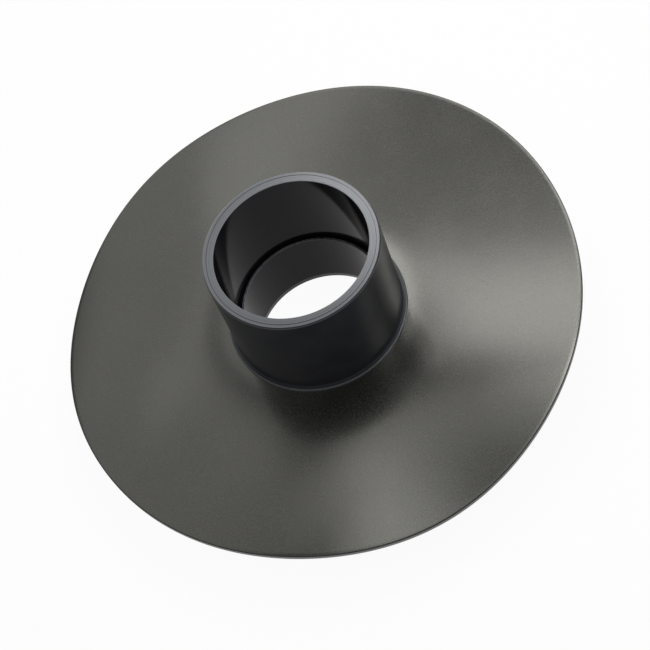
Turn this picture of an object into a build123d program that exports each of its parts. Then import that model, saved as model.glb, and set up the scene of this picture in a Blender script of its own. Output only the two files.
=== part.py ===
from build123d import *
import os
from math import atan2, cos, hypot, radians

# Pipe passage with a wide round sheet flange. The axis is Z, the pipe's lower end
# stands on Z = 0 and the socket opens at the top. All lengths are in millimetres.

os.makedirs("parts", exist_ok=True)

# Pipe stub that passes through the sheet
pipe_diameter = 110.0
pipe_wall = 3.2
pipe_length = 54.0
lead_in_length = 5.0
lead_in_depth = 1.4
spigot_chamfer_length = 3.6
spigot_chamfer_depth = 1.0
inner_bevel_length = 5.5
inner_bevel_depth = 1.1

# Socket sleeve, turned from a thick tube and bonded over the pipe's upper end. The
# socket takes a pipe of the same diameter, down to the end of the stub, and narrows
# over a short cone to the bore that is bonded to the stub.
bond_clearance = 0.1
socket_clearance = 0.3
sleeve_wall = 8.2
socket_depth = 74.0
bore_cone_length = 2.0
rim_chamfer = 1.0
mouth_break = 0.4
rim_line_inset = 2.2
rim_line_width = 0.5
rim_line_depth = 0.25
foot_ring_width = 3.3
foot_ring_height = 2.0
foot_ring_round = 0.8
foot_ring_bead = 0.6

# Round sheet: flat where the sleeve is bonded to it, gently waved outside that
sheet_diameter = 387.0
sheet_thickness = 4.0
sheet_edge_chamfer = 0.7
sheet_top_height = 40.0
bond_line = 0.05
flat_margin = 3.0

# Waves of the sheet, as they stand at its rim: the mean lift, and for one to six
# crests around the rim the height of a crest and the direction of the first one,
# in degrees from +X
mean_lift = 3.9
one_crest_height = 10.1
two_crest_height = 4.8
three_crest_height = 2.0
four_crest_height = 1.2
five_crest_height = 1.35
six_crest_height = 0.8
one_crest_turn = 4.9
two_crest_turn = 33.8
three_crest_turn = -23.6
four_crest_turn = 38.0
five_crest_turn = 31.4
six_crest_turn = 6.5

# Growth of the waves from the flat middle to the rim: each grows with a power of the
# way, and the soft start, a share of the way, lets them begin without a kink
soft_start = 0.12
lift_power = 0.7
long_wave_power = 1.9
short_wave_power = 1.1

# Grid of points that the sheet's surface is drawn through, and how near it keeps to them
grid_steps = 48
grid_overlap = 1.05
grid_tolerance = 0.02

# Worked-out sizes
pipe_radius = pipe_diameter / 2
pipe_bore = pipe_radius - pipe_wall
bond_bore = pipe_radius + bond_clearance
socket_bore = pipe_radius + socket_clearance
sleeve_radius = socket_bore + sleeve_wall
sleeve_foot = sheet_top_height + bond_line
foot_ring_radius = sleeve_radius + foot_ring_width
foot_ring_top = sleeve_foot + foot_ring_height
rim_height = pipe_length + socket_depth
rim_line_radius = sleeve_radius - rim_chamfer - rim_line_inset
sheet_radius = sheet_diameter / 2
flat_radius = foot_ring_radius + flat_margin
half_grid = sheet_radius * grid_overlap


def crests(count, height, turn, angle):
    """Height at an angle of a wave with this many crests around the rim."""
    return height * cos(count * (angle - radians(turn)))


def long_waves(angle):
    """Height at the rim of the waves with one to three crests."""
    return (
        crests(1, one_crest_height, one_crest_turn, angle)
        + crests(2, two_crest_height, two_crest_turn, angle)
        + crests(3, three_crest_height, three_crest_turn, angle)
    )


def short_waves(angle):
    """Height at the rim of the waves with four to six crests."""
    return (
        crests(4, four_crest_height, four_crest_turn, angle)
        + crests(5, five_crest_height, five_crest_turn, angle)
        + crests(6, six_crest_height, six_crest_turn, angle)
    )


def way_out(radius):
    """Share of the way from the flat middle to the rim, with its soft start."""
    reach = max(radius - flat_radius, 0) / (sheet_radius - flat_radius)
    return (1 + soft_start**2) * reach**3 / (reach**2 + soft_start**2)


def sheet_height(x, y):
    """Height of the sheet's upper side over a point of the plan."""
    angle = atan2(y, x)
    way = way_out(hypot(x, y))
    return (
        sheet_top_height
        + mean_lift * way**lift_power
        + long_waves(angle) * way**long_wave_power
        + short_waves(angle) * way**short_wave_power
    )


# Pipe stub: both ends are chamfered outside, and the lower end is bevelled inside
with BuildPart() as pipe_stub:
    with BuildSketch(Plane.XZ):
        with BuildLine():
            Polyline(
                (pipe_bore + inner_bevel_depth, 0),
                (pipe_radius - spigot_chamfer_depth, 0),
                (pipe_radius, spigot_chamfer_length),
                (pipe_radius, pipe_length - lead_in_length),
                (pipe_radius - lead_in_depth, pipe_length),
                (pipe_bore, pipe_length),
                (pipe_bore, inner_bevel_length),
                close=True,
            )
        make_face()
    revolve(axis=Axis.Z)

pipe_stub.part.label = "pipe_stub"
export_step(pipe_stub.part, "parts/pipe_stub.step")

# Socket sleeve: the turned profile with its foot ring, then the broken edges and a
# fine line turned in the face of the rim
with BuildPart() as sleeve:
    with BuildSketch(Plane.XZ):
        with BuildLine():
            Polyline(
                (bond_bore, sleeve_foot),
                (foot_ring_radius, sleeve_foot),
                (foot_ring_radius, foot_ring_top),
                (sleeve_radius, foot_ring_top),
                (sleeve_radius, rim_height),
                (socket_bore, rim_height),
                (socket_bore, pipe_length),
                (bond_bore, pipe_length - bore_cone_length),
                close=True,
            )
        make_face()
    revolve(axis=Axis.Z)

    rim_face, ring_face = sleeve.faces().filter_by(Plane.XY).sort_by(Axis.Z)[:-3:-1]
    outer_edge, mouth_edge = rim_face.edges().sort_by(SortBy.LENGTH, reverse=True)
    chamfer(outer_edge, rim_chamfer)
    chamfer(mouth_edge, mouth_break)
    ring_edge, inside_corner = ring_face.edges().sort_by(SortBy.LENGTH, reverse=True)
    fillet(ring_edge, foot_ring_round)
    chamfer(inside_corner, foot_ring_bead)

    with BuildSketch(Plane.XZ):
        with Locations((rim_line_radius, rim_height)):
            Rectangle(
                rim_line_width, rim_line_depth, align=(Align.CENTER, Align.MAX)
            )
    revolve(axis=Axis.Z, mode=Mode.SUBTRACT)

sleeve.part.label = "sleeve"
export_step(sleeve.part, "parts/sleeve.step")

# Upper side of the sheet, as one smooth surface over a square a little wider than it
grid_places = [half_grid * (2 * step / grid_steps - 1) for step in range(grid_steps + 1)]
sheet_surface = Face.make_surface_from_array_of_points(
    [[(x, y, sheet_height(x, y)) for x in grid_places] for y in grid_places],
    tol=grid_tolerance,
    min_deg=3,
    max_deg=3,
)

# Sheet: the surface given its thickness, cut round, with a hole for the pipe
with BuildPart() as membrane:
    extrude(sheet_surface, amount=sheet_thickness, dir=(0, 0, -1))
    with BuildSketch(Plane.XY):
        Circle(sheet_radius)
        Circle(bond_bore, mode=Mode.SUBTRACT)
    extrude(amount=rim_height, mode=Mode.INTERSECT)

    rim_side = membrane.faces().filter_by(GeomType.CYLINDER).sort_by(SortBy.AREA)[-1]
    upper_edge = rim_side.edges().sort_by(SortBy.LENGTH)[-2:].sort_by(Axis.Z)[-1]
    chamfer(upper_edge, sheet_edge_chamfer)

membrane.part.label = "membrane"
export_step(membrane.part, "parts/membrane.step")
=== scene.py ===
"""Looks of a pipe passage with a wide round sheet flange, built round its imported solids."""

import logging
from dataclasses import dataclass, field
from enum import Enum
from math import cos, pi, radians, sin
from typing import Any, Mapping, Sequence

import bpy
from mathutils import Matrix, Vector


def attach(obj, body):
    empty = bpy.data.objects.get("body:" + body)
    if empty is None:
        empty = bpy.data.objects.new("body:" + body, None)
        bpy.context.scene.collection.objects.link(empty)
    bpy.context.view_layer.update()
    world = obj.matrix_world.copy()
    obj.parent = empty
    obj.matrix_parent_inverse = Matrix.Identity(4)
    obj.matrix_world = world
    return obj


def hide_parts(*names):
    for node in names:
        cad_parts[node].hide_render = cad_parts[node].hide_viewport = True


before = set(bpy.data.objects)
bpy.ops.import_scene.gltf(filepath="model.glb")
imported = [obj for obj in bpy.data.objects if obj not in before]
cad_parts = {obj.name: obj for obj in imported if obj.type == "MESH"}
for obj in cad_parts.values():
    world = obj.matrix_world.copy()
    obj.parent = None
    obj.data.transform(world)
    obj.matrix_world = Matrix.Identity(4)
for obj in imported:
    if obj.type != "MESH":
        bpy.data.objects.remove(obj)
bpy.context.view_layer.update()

MM = 0.001
log = logging.getLogger("pipe_passage")

Colour = tuple[float, float, float]
Point = tuple[float, float, float]


class Body(Enum):
    """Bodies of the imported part."""

    WHOLE = "root"


class Slot(Enum):
    """Names for material slots, which no piece here is given."""

    MEMBRANE = "membrane"


class Wire:
    """A node's output, with the sums that the finishes use written as plain arithmetic."""

    def __init__(self, graph: "Graph", socket: bpy.types.NodeSocket) -> None:
        """Wraps an output socket of a node in a graph."""
        self.graph = graph
        self.socket = socket

    def _sum(self, operation: str, first: "Wire | float", second: "Wire | float") -> "Wire":
        """Adds a Math node of two values."""
        return self.graph.node("Math", {"operation": operation}, {0: first, 1: second})

    def __add__(self, other: "Wire | float") -> "Wire":
        """This value plus another."""
        return self._sum("ADD", self, other)

    def __radd__(self, other: float) -> "Wire":
        """A number plus this value."""
        return self._sum("ADD", other, self)

    def __sub__(self, other: "Wire | float") -> "Wire":
        """This value less another."""
        return self._sum("SUBTRACT", self, other)

    def __rsub__(self, other: float) -> "Wire":
        """A number less this value."""
        return self._sum("SUBTRACT", other, self)

    def __mul__(self, other: "Wire | float") -> "Wire":
        """This value times another."""
        return self._sum("MULTIPLY", self, other)

    def __rmul__(self, other: float) -> "Wire":
        """A number times this value."""
        return self._sum("MULTIPLY", other, self)

    def step(self, start: float, end: float) -> "Wire":
        """Smooth step of this value.

        Args:
            start: The value at which the step is 0.
            end: The value at which the step is 1.

        Returns:
            A mask from 0 to 1.
        """
        settings = {"interpolation_type": "SMOOTHSTEP"}
        return self.graph.node("MapRange", settings, {0: self, 1: start, 2: end})


class Graph:
    """Node tree of one material."""

    def __init__(self, name: str) -> None:
        """Makes an empty material.

        Args:
            name: The material's name.
        """
        self.material = bpy.data.materials.new(name)
        self.material.use_nodes = True
        self.tree = self.material.node_tree
        self.tree.nodes.clear()

    def add(
        self, kind: str, settings: Mapping[str, Any], sockets: Mapping[int | str, Any]
    ) -> bpy.types.Node:
        """Adds a node.

        Args:
            kind: The node's type, without its ShaderNode prefix.
            settings: The node's own settings, set first.
            sockets: A number, colour or wire for each input, by name or place.

        Returns:
            The node.
        """
        made = self.tree.nodes.new(f"ShaderNode{kind}")
        for name, value in settings.items():
            setattr(made, name, value)
        for key, value in sockets.items():
            if isinstance(value, Wire):
                self.tree.links.new(value.socket, made.inputs[key])
            elif isinstance(value, tuple) and made.inputs[key].type == "RGBA":
                made.inputs[key].default_value = (*value, 1.0)
            else:
                made.inputs[key].default_value = value
        return made

    def node(
        self,
        kind: str,
        settings: Mapping[str, Any] | None = None,
        sockets: Mapping[int | str, Any] | None = None,
        output: int | str = 0,
    ) -> Wire:
        """Adds a node and takes one of its outputs.

        Args:
            kind: The node's type, without its ShaderNode prefix.
            settings: The node's own settings, set first.
            sockets: A number, colour or wire for each input, by name or place.
            output: The output to take, by name or place.

        Returns:
            The chosen output.
        """
        return Wire(self, self.add(kind, settings or {}, sockets or {}).outputs[output])

    def place(self) -> Wire:
        """Place on the object, in metres from the part's origin."""
        return self.node("TexCoord", output="Object")

    def blend(self, mask: Wire | float, low: Wire | Colour, high: Wire | Colour) -> Wire:
        """Blends two colours.

        Args:
            mask: 0 for the first colour and 1 for the second.
            low: The first colour.
            high: The second colour.

        Returns:
            The blended colour.
        """
        sockets = {0: mask, 6: low, 7: high}
        return self.node("Mix", {"data_type": "RGBA"}, sockets, output=2)

    def noise(self, vector: Wire, scale: float, detail: float = 2.0) -> Wire:
        """Noise around 0.5 at a place, with this many cells to the metre."""
        sockets = {"Vector": vector, "Scale": scale, "Detail": detail}
        return self.node("TexNoise", {}, sockets)

    def stretched(self, scale: Point) -> Wire:
        """Place on the object, scaled along each axis."""
        sockets = {"Vector": self.place(), "Scale": scale}
        return self.node("Mapping", {}, sockets)

    def part_of(self, axis: str) -> Wire:
        """One coordinate of the place on the object."""
        return self.node("SeparateXYZ", {}, {0: self.place()}, output=axis)

    def reach(self) -> Wire:
        """Distance from the pipe's axis.

        Returns:
            The distance in metres.
        """
        sockets = {0: self.place(), 1: (1.0, 1.0, 0.0)}
        flat = self.node("VectorMath", {"operation": "MULTIPLY"}, sockets)
        return self.node("VectorMath", {"operation": "LENGTH"}, {0: flat}, output="Value")

    def bump(self, height: Wire, strength: float, depth: float, below: Wire | None = None) -> Wire:
        """Bump of a height.

        Args:
            height: The height, from 0 to 1.
            strength: The bump's strength.
            depth: The height's full depth in metres.
            below: A normal that this bump is laid over.

        Returns:
            The bumped normal.
        """
        sockets: dict[int | str, Any] = {"Strength": strength, "Distance": depth, "Height": height}
        if below is not None:
            sockets["Normal"] = below
        return self.node("Bump", {}, sockets)

    def shade(self, colour: Colour, spread: float, mask: Wire) -> Wire:
        """A colour made darker and lighter by a share, as a mask goes from 0 to 1."""
        low, high = (tuple(part * factor for part in colour) for factor in (1 - spread, 1 + spread))
        return self.blend(mask, low, high)

    def plastic(
        self, colour: Wire, roughness: Wire | float, normal: Wire, gloss: float, tint: Colour
    ) -> Wire:
        """Plastic surface.

        Args:
            colour: Its own colour.
            roughness: Its roughness.
            normal: Its normal.
            gloss: Its mirror strength, where 0.5 is that of glass.
            tint: The colour of its highlights.

        Returns:
            The shader.
        """
        return self.node("BsdfPrincipled", {}, {
            "Base Color": colour, "Roughness": roughness, "Normal": normal,
            "IOR": 1.5, "Specular IOR Level": gloss, "Specular Tint": tint,
        })

    def finish(self, shader: Wire) -> bpy.types.Material:
        """Connects the surface and returns the material."""
        self.add("OutputMaterial", {}, {"Surface": shader})
        return self.material


@dataclass(frozen=True)
class SheetFinish:
    """Calendered sheet: olive black and satin on its faces, bluish grey where it is cut, and painted
    darker along its rounded upper edge as shade.

    The fields named cells give how many cells of a noise go to the metre.
    """

    face: Colour = (0.0165, 0.0165, 0.0135)
    # The dark colour of the rounded upper edge is painted shade.
    shaded_arris: Colour = (0.004, 0.004, 0.0035)
    cut: Colour = (0.1, 0.104, 0.115)
    grain_spread: float = 0.65
    saw_spread: float = 0.15
    roughness: float = 0.2
    arris_dulling: float = 0.55
    cut_dulling: float = 0.15
    gloss: float = 0.8
    tint: Colour = (1.0, 0.99, 0.92)
    cloud_cells: float = 22.0
    wave_cells: float = 24.0
    grain_cells: float = 1100.0
    saw_cells: float = 500.0
    wave_depth: float = 0.05 * MM
    grain_strength: float = 0.2
    grain_depth: float = 0.034 * MM
    rim: float = 193.5 * MM
    edge_round: float = 0.8 * MM
    soft: float = 0.1 * MM

    def build(self) -> bpy.types.Material:
        """Makes the sheet's material.

        Returns:
            The material.
        """
        graph = Graph("sheet_plastic")
        place, reach = graph.place(), graph.reach()
        cloud = graph.noise(place, self.cloud_cells, 3.0)
        grain = graph.noise(place, self.grain_cells, 3.0)
        saw = graph.noise(graph.stretched((1.0, 1.0, 6.0)), self.saw_cells)
        cut = reach.step(self.rim - self.soft, self.rim - 0.3 * self.soft)
        round_start = self.rim - self.edge_round
        # Mask of the rounded upper edge, which is painted dark as shade.
        shaded_arris = reach.step(round_start, round_start + 2 * self.soft) * (1.0 - cut)
        speckle = (0.15 * cloud + 0.85 * grain).step(0.35, 0.65)
        face = graph.shade(self.face, self.grain_spread, speckle)
        edge = graph.shade(self.cut, self.saw_spread, saw.step(0.3, 0.7))
        colour = graph.blend(cut, graph.blend(shaded_arris, face, self.shaded_arris), edge)
        rough = self.roughness + 0.03 * (cloud - 0.5) + 0.04 * (grain - 0.5)
        rough = rough + self.arris_dulling * shaded_arris + self.cut_dulling * cut
        waves = graph.bump(graph.noise(place, self.wave_cells, 1.0), 1.0, self.wave_depth)
        normal = graph.bump(grain, self.grain_strength, self.grain_depth, waves)
        return graph.finish(graph.plastic(colour, rough, normal, self.gloss, self.tint))


@dataclass(frozen=True)
class TurnedFinish:
    """Turned sleeve: bluish black outside, grey on its cut rim, smoother in its bore, which is
    painted darker as shade.

    The fields named cells give how many cells of a noise go to the metre.
    """

    wall: Colour = (0.034, 0.0355, 0.041)
    face: Colour = (0.108, 0.112, 0.12)
    # Painted shade for the two fine grooves turned in the rim.
    groove_shade: Colour = (0.03, 0.031, 0.036)
    # Painted shade on the rim's outer chamfer.
    corner: Colour = (0.036, 0.035, 0.042)
    # Painted highlight along the mouth's break, the chamfer's lower edge and the foot ring's edge.
    edge_highlight: Colour = (0.2, 0.21, 0.22)
    # The bore's darker colour is painted shade.
    shaded_bore: Colour = (0.0095, 0.009, 0.0115)
    wall_spread: float = 0.12
    face_spread: float = 0.25
    wall_roughness: float = 0.3
    face_roughness: float = 0.22
    bore_roughness: float = 0.12
    wall_gloss: float = 0.2
    face_gloss: float = 0.62
    bore_gloss: float = 0.12
    tint: Colour = (0.95, 0.97, 1.0)
    bore_tint: Colour = (0.93, 0.9, 1.0)
    cloud_cells: float = 60.0
    tool_cells: float = 1900.0
    lathe_cells: float = 420.0
    tool_depth: float = 0.03 * MM
    lathe_depth: float = 0.02 * MM
    rim_height: float = 128.0 * MM
    chamfer: float = 1.0 * MM
    mouth_break: float = 0.4 * MM
    radius: float = 63.5 * MM
    bore_radius: float = 55.3 * MM
    ring_radius: float = 66.8 * MM
    ring_top: float = 42.05 * MM
    ring_highlight_share: float = 0.55
    line_radius: float = 60.3 * MM
    line_width: float = 0.5 * MM
    second_line_share: float = 0.45
    soft: float = 0.12 * MM

    def _band(self, value: Wire, start: float, end: float) -> Wire:
        """Mask that is 1 between two values."""
        return value.step(start - self.soft, start) * (1.0 - value.step(end, end + self.soft))

    def _rim_colour(self, graph: Graph, reach: Wire, height: Wire, tool: Wire) -> Wire:
        """Colour of the rim, with painted shade in its grooves and on its outer chamfer, and painted
        highlights on its edges.

        Args:
            graph: The material's graph.
            reach: Distance from the axis.
            height: Height above the pipe's lower end.
            tool: Noise of the lines that the tool left.

        Returns:
            The colour.
        """
        shoulder, corner = self.rim_height - self.chamfer, self.radius - self.chamfer
        above_shoulder = height.step(shoulder, shoulder + self.soft)
        line, half = self.line_radius, self.line_width / 2
        # The two fine grooves are painted dark as their shade.
        groove_shade = self._band(reach, line - half, line + half)
        second = self._band(reach, line + 5 * half, line + 6 * half) * self.second_line_share
        face = graph.shade(self.face, self.face_spread, tool.step(0.3, 0.7))
        colour = graph.blend(groove_shade + second, face, self.groove_shade)
        # The rim's outer chamfer is painted dark as shade.
        shaded_chamfer = self._band(reach, corner + self.soft, self.radius) * above_shoulder
        colour = graph.blend(shaded_chamfer, colour, self.corner)
        mouth_end = self.bore_radius + self.mouth_break
        mouth = 1.0 - reach.step(mouth_end, mouth_end + self.soft)
        # The mouth's break and the chamfer's lower edge are painted light as highlights.
        edge_highlight = mouth + 0.5 * (1.0 - above_shoulder) * (1.0 - mouth)
        return graph.blend(edge_highlight, colour, self.edge_highlight)

    def _on_rim(self, reach: Wire, height: Wire, in_bore: Wire) -> Wire:
        """Share of the rim's surface, which the edge of the foot ring takes a part of too, with the
        rim's gloss and its lighter colour as a painted highlight.

        Args:
            reach: Distance from the axis.
            height: Height above the pipe's lower end.
            in_bore: Mask of the bore.

        Returns:
            The mask.
        """
        shoulder, mouth = self.rim_height - self.chamfer, self.rim_height - self.mouth_break
        on_rim = height.step(shoulder - 2 * self.soft, shoulder - self.soft) * (1.0 - in_bore)
        on_rim = on_rim + in_bore * height.step(mouth - self.soft, mouth)
        # The foot ring's outer edge gets the rim's gloss, and also its lighter colour as a painted
        # highlight.
        ring = reach.step(self.ring_radius - 1.0 * MM, self.ring_radius - 0.6 * MM)
        below_top = 1.0 - height.step(self.ring_top, self.ring_top + 1.0 * MM)
        return on_rim + ring * self.ring_highlight_share * below_top

    def build(self) -> bpy.types.Material:
        """Makes the sleeve's material.

        Returns:
            The material.
        """
        graph = Graph("turned_plastic")
        reach, height = graph.reach(), graph.part_of("Z")
        cloud = graph.noise(graph.place(), self.cloud_cells, 3.0)
        across = graph.node("CombineXYZ", {}, {"X": reach, "Y": height})
        tool = graph.noise(across, self.tool_cells)
        lathe = graph.noise(across, self.lathe_cells)
        lines = 0.6 * tool + 0.4 * lathe
        smooth = graph.bump(lathe, 0.1, self.lathe_depth)
        wall = graph.plastic(
            graph.shade(self.wall, self.wall_spread, cloud.step(0.3, 0.7)),
            self.wall_roughness + 0.08 * (cloud - 0.5),
            smooth, self.wall_gloss, self.tint,
        )
        rim = graph.plastic(
            self._rim_colour(graph, reach, height, lines),
            self.face_roughness + 0.1 * (lines - 0.5),
            graph.bump(tool, 0.25, self.tool_depth), self.face_gloss, self.tint,
        )
        shaded_bore = graph.plastic(
            graph.shade(self.shaded_bore, self.wall_spread, lathe.step(0.3, 0.7)),
            self.bore_roughness + 0.06 * (lathe - 0.5),
            smooth, self.bore_gloss, self.bore_tint,
        )
        in_bore = 1.0 - reach.step(self.bore_radius + self.soft, self.bore_radius + 2 * self.soft)
        below = graph.node("MixShader", {}, {0: in_bore, 1: wall, 2: shaded_bore})
        on_rim = self._on_rim(reach, height, in_bore)
        return graph.finish(graph.node("MixShader", {}, {0: on_rim, 1: below, 2: rim}))


@dataclass(frozen=True)
class DrawnFinish:
    """Drawn pipe: dull violet black with faint streaks along the axis, a paler cut end and a painted
    highlight along that end's inner edge.

    The fields named cells give how many cells of a noise go to the metre.
    """

    colour: Colour = (0.014, 0.0128, 0.0165)
    cut: Colour = (0.075, 0.075, 0.08)
    # Painted highlight along the inner edge of the cut end.
    edge: Colour = (0.2, 0.2, 0.21)
    streak_spread: float = 0.06
    saw_spread: float = 0.4
    roughness: float = 0.12
    cut_dulling: float = 0.2
    gloss: float = 0.14
    tint: Colour = (0.93, 0.9, 1.0)
    streak_cells: float = 300.0
    saw_cells: float = 900.0
    streak_depth: float = 0.03 * MM
    bore_radius: float = 51.8 * MM
    upper_end: float = 54.0 * MM
    lead_in: float = 5.0 * MM
    lead_in_radius: float = 53.4 * MM
    soft: float = 0.12 * MM

    def build(self) -> bpy.types.Material:
        """Makes the pipe's material.

        Returns:
            The material.
        """
        graph = Graph("drawn_plastic")
        reach, height = graph.reach(), graph.part_of("Z")
        streak = graph.noise(graph.stretched((1.0, 1.0, 0.03)), self.streak_cells)
        saw = graph.noise(graph.stretched((1.0, 0.15, 1.0)), self.saw_cells)
        end = height.step(self.upper_end - self.soft, self.upper_end)
        lead_in_start = self.upper_end - self.lead_in
        lead_in = height.step(lead_in_start, lead_in_start + self.soft)
        lead_in = lead_in * reach.step(self.lead_in_radius - self.soft, self.lead_in_radius)
        cut = end + lead_in * (1.0 - end)
        # Mask of the cut end's inner edge, which is painted light as a highlight.
        corner = 1.0 - reach.step(self.bore_radius + 2 * self.soft, self.bore_radius + 4 * self.soft)
        body = graph.shade(self.colour, self.streak_spread, streak.step(0.3, 0.7))
        sawn = graph.shade(self.cut, self.saw_spread, saw.step(0.35, 0.65))
        colour = graph.blend(corner * end, graph.blend(cut, body, sawn), self.edge)
        rough = self.roughness + 0.05 * (streak - 0.5) + self.cut_dulling * cut
        normal = graph.bump(streak, 0.05, self.streak_depth)
        return graph.finish(graph.plastic(colour, rough, normal, self.gloss, self.tint))


def mesh_piece(
    name: str, points: Sequence[Point], faces: Sequence[Sequence[int]]
) -> bpy.types.Object:
    """Makes a smooth mesh object.

    Args:
        name: The piece's name.
        points: Its corners, in metres.
        faces: Its faces, as places in the list of corners.

    Returns:
        The object, linked to the scene.
    """
    mesh = bpy.data.meshes.new(name)
    mesh.from_pydata(points, [], faces)
    mesh.validate()
    mesh.shade_smooth()
    piece = bpy.data.objects.new(name, mesh)
    bpy.context.scene.collection.objects.link(piece)
    return piece


def dress(piece: bpy.types.Object, material: bpy.types.Material) -> None:
    """Gives a piece one material all over."""
    piece.data.materials.clear()
    piece.data.materials.append(material)


@dataclass(frozen=True)
class Wave:
    """One of the sheet's waves, as it stands at the rim. Heights in millimetres."""

    crests: int
    crest_height: float
    turn: float
    power: float

    def height(self, way: float, angle: float) -> float:
        """Height of the wave at a share of the way to the rim and an angle."""
        crest = self.crest_height * way**self.power
        return crest * cos(self.crests * (angle - radians(self.turn)))


@dataclass
class SheetFlange:
    """Round sheet, flat round the pipe and gently waved outside that. Sizes in millimetres."""

    hole_radius: float = 55.1
    flat_radius: float = 69.8
    radius: float = 193.49
    thickness: float = 4.0
    edge_round: float = 0.8
    lower_break: float = 0.2
    top_height: float = 40.0
    mean_lift: float = 3.9
    soft_start: float = 0.12
    lift_power: float = 0.7
    waves: tuple[Wave, ...] = (
        Wave(1, 10.1, 4.9, 1.9), Wave(2, 4.8, 33.8, 1.9), Wave(3, 2.0, -23.6, 1.9),
        Wave(4, 1.2, 38.0, 1.1), Wave(5, 1.35, 31.4, 1.1), Wave(6, 0.8, 6.5, 1.1),
    )
    around: int = 480
    across: int = 60
    edge_steps: int = 6
    finish: SheetFinish = field(default_factory=SheetFinish)

    def height(self, radius: float, angle: float) -> float:
        """Height of the upper side.

        Args:
            radius: The distance from the axis.
            angle: The direction, in radians from +X.

        Returns:
            The height above the pipe's lower end.
        """
        reach = max(radius - self.flat_radius, 0.0) / (self.radius - self.flat_radius)
        way = (1 + self.soft_start**2) * reach**3 / (reach**2 + self.soft_start**2)
        lift = self.mean_lift * way**self.lift_power
        return self.top_height + lift + sum(wave.height(way, angle) for wave in self.waves)

    def section(self) -> list[tuple[float, float]]:
        """Section of the sheet, from the hole's lower edge over the rim back to the hole.

        Returns:
            Each corner's radius and its depth below the upper side.
        """
        inner, outer, small = self.hole_radius, self.radius, self.lower_break
        flat_end = outer - self.edge_round
        width = flat_end - inner
        upper = [inner + width * step / self.across for step in range(self.across + 1)]
        points = [(inner, self.thickness), *((radius, 0.0) for radius in upper)]
        for step in range(1, self.edge_steps + 1):
            turn = pi / 2 * step / self.edge_steps
            depth = self.edge_round * (1 - cos(turn))
            points.append((flat_end + self.edge_round * sin(turn), depth))
        points += [(outer, self.thickness - small), (outer - small, self.thickness)]
        lower = [radius for radius in reversed(upper) if radius < flat_end - small]
        points += [(radius, self.thickness) for radius in lower[:-1]]
        return points

    def build(self) -> bpy.types.Object:
        """Builds the sheet and puts it in the place of its solid.

        Returns:
            The sheet.
        """
        section = self.section()
        rows = len(section)
        points: list[Point] = []
        for step in range(self.around):
            angle = 2 * pi * step / self.around
            for radius, depth in section:
                z = self.height(radius, angle) - depth
                points.append((radius * cos(angle) * MM, radius * sin(angle) * MM, z * MM))
        faces = [
            (a * rows + i, b * rows + i, b * rows + j, a * rows + j)
            for a in range(self.around)
            for b in ((a + 1) % self.around,)
            for i in range(rows)
            for j in ((i + 1) % rows,)
        ]
        piece = mesh_piece("waved_sheet", points, faces)
        dress(piece, self.finish.build())
        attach(piece, Body.WHOLE.value)
        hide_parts("membrane")
        return piece


@dataclass
class TurnedParts:
    """The sleeve and the pipe stub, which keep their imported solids."""

    sleeve: TurnedFinish = field(default_factory=TurnedFinish)
    pipe: DrawnFinish = field(default_factory=DrawnFinish)

    def build(self) -> list[bpy.types.Object]:
        """Dresses both solids.

        Returns:
            The sleeve and the pipe stub.
        """
        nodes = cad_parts
        dress(nodes["sleeve"], self.sleeve.build())
        dress(nodes["pipe_stub"], self.pipe.build())
        return [nodes["sleeve"], nodes["pipe_stub"]]


@dataclass(frozen=True)
class SoftPanel:
    """A flat soft lamp that hangs level over the object. Sizes in metres.

    A panel with a brightness of 1 looks just white, and a square metre of it takes the
    power given here.
    """

    name: str
    left: float
    right: float
    near: float
    far: float
    brightness: float
    power: float = 4.0

    def build(self, height: float) -> bpy.types.Object:
        """Hangs the lamp.

        Args:
            height: Its height above the floor.

        Returns:
            The lamp.
        """
        lamp = bpy.data.lights.new(self.name, "AREA")
        lamp.shape = "RECTANGLE"
        lamp.size, lamp.size_y = self.right - self.left, self.far - self.near
        lamp.energy = self.power * self.brightness * lamp.size * lamp.size_y
        holder = bpy.data.objects.new(self.name, lamp)
        holder.location = ((self.left + self.right) / 2, (self.near + self.far) / 2, height)
        holder.visible_camera = False
        bpy.context.scene.collection.objects.link(holder)
        return holder


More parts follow.
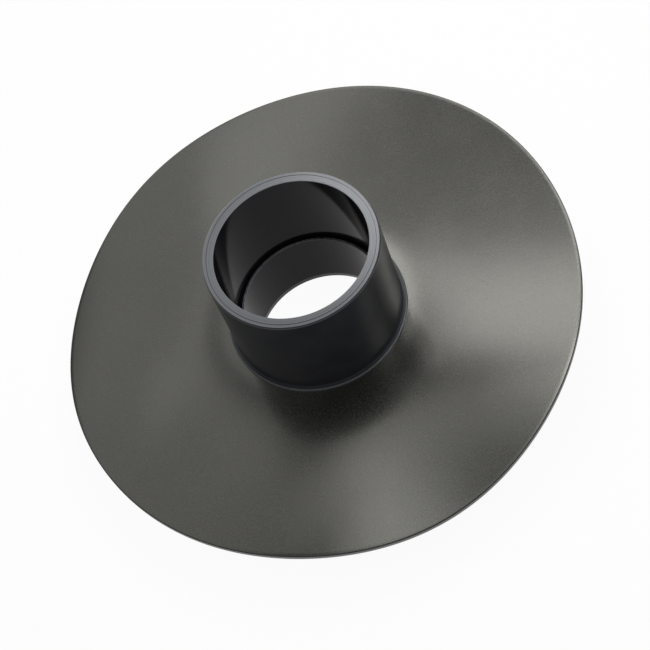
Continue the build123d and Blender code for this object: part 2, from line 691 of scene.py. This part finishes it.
@dataclass
class Studio:
    """Plain pale floor with soft light from level panels, hung just clear of each other.

    The floor is white to the camera by one share and to mirrored and passing light by
    another, and painted for the rest. Sizes in metres.
    """

    floor_size: float = 30.0
    floor_gap: float = 0.0002
    floor_colour: Colour = (0.86, 0.86, 0.86)
    white_share: float = 0.95
    mirrored_share: float = 0.55
    room_strength: float = 0.22
    panel_height: float = 0.7
    panel_gap: float = 0.003
    panels: tuple[SoftPanel, ...] = (
        SoftPanel("right_corner", 0.25, 0.45, -0.3, -0.1, 5.4),
        SoftPanel("right_front", 0.06, 0.14, -0.1, 0.25, 3.8),
        SoftPanel("right_wide", 0.14, 0.5, 0.1, 0.25, 9.2),
        SoftPanel("right_strip", 0.09, 0.16, 0.25, 0.52, 5.5),
        SoftPanel("right_back", 0.06, 0.2, 0.52, 0.75, 4.8),
        SoftPanel("middle_front", -0.1, 0.06, 0.1, 0.25, 0.8),
        SoftPanel("middle_corner", 0.0, 0.06, -0.1, 0.1, 1.1),
        SoftPanel("middle_strip", 0.04, 0.09, 0.38, 0.52, 3.1),
        SoftPanel("middle_back", -0.1, 0.06, 0.52, 0.75, 1.6),
        SoftPanel("left_corner", -0.5, -0.05, -0.3, -0.1, 1.0),
        SoftPanel("left_front", -0.3, -0.1, 0.1, 0.25, 0.54),
        SoftPanel("left_middle", -0.3, -0.08, 0.25, 0.38, 0.64),
        SoftPanel("left_strip", -0.3, -0.08, 0.38, 0.52, 1.15),
        SoftPanel("left_wide", -0.6, -0.3, -0.1, 0.52, 0.72),
        SoftPanel("left_back", -0.6, -0.1, 0.52, 0.75, 0.79),
        SoftPanel("back_wide", -0.6, 0.1, 0.75, 1.2, 0.85),
    )

    def build(self) -> None:
        """Builds the floor, the panels and the room's own light."""
        self._floor()
        for step, panel in enumerate(self.panels):
            panel.build(self.panel_height + step * self.panel_gap)
        self._room()
        bpy.context.scene.view_settings.view_transform = "Standard"

    def _floor(self) -> None:
        """Lays the floor, which looks white to the camera and still takes a faint shadow."""
        half = self.floor_size / 2
        low = -self.floor_gap
        corners = [(-half, -half, low), (half, -half, low), (half, half, low), (-half, half, low)]
        floor = mesh_piece("studio_floor", corners, [(0, 1, 2, 3)])
        graph = Graph("studio_floor")
        paint = graph.node("BsdfDiffuse", {}, {"Color": self.floor_colour})
        white = graph.node("Emission", {}, {"Color": (1.0, 1.0, 1.0), "Strength": 1.0})
        seen = graph.node("LightPath", output="Is Camera Ray")
        mirrored = graph.node("LightPath", output="Is Glossy Ray")
        mirrored = mirrored + graph.node("LightPath", output="Is Transmission Ray")
        share = seen * self.white_share + mirrored * self.mirrored_share
        dress(floor, graph.finish(graph.node("MixShader", {}, {0: share, 1: paint, 2: white})))

    def _room(self) -> None:
        """Fills the room with weak even light."""
        world = bpy.data.worlds.new("studio")
        world.use_nodes = True
        back = world.node_tree.nodes["Background"]
        back.inputs["Color"].default_value = (1.0, 1.0, 1.0, 1.0)
        back.inputs["Strength"].default_value = self.room_strength
        bpy.context.scene.world = world


@dataclass
class PhotoCamera:
    """Camera above the front of the part, rolled about its own line of sight.

    The place is in metres, the film's width in millimetres, and the angles in degrees.
    """

    place: Point = (0.0, -0.682, 1.1252)
    look_down: float = 58.39
    look_aside: float = 0.035
    roll: float = -23.85
    focal_in_widths: float = 1750.0 / 650.0
    film_width: float = 36.0

    def build(self) -> bpy.types.Object:
        """Adds the camera and makes it the scene's own.

        Returns:
            The camera.
        """
        lens = bpy.data.cameras.new("photo_camera")
        lens.sensor_fit = "HORIZONTAL"
        lens.sensor_width = self.film_width
        lens.lens = self.film_width * self.focal_in_widths
        camera = bpy.data.objects.new("photo_camera", lens)
        down, aside, roll = radians(self.look_down), radians(self.look_aside), radians(self.roll)
        ahead = Vector((sin(aside) * cos(down), cos(aside) * cos(down), -sin(down)))
        level = Vector((cos(aside), -sin(aside), 0.0))
        raised = level.cross(ahead)
        right = level * cos(roll) + raised * sin(roll)
        above = raised * cos(roll) - level * sin(roll)
        turn = Matrix((right, above, -ahead)).transposed()
        camera.matrix_world = Matrix.Translation(self.place) @ turn.to_4x4()
        bpy.context.scene.collection.objects.link(camera)
        bpy.context.scene.camera = camera
        return camera


def main() -> None:
    """Builds the camera, the pieces and the studio, and reports each piece."""
    logging.basicConfig(level=logging.INFO, format="%(name)s: %(message)s")
    PhotoCamera().build()
    pieces = [SheetFlange().build(), *TurnedParts().build()]
    Studio().build()
    for piece in pieces:
        log.info("%s has %d faces", piece.name, len(piece.data.polygons))
    bpy.context.view_layer.update()


if __name__ == "__main__":
    main()
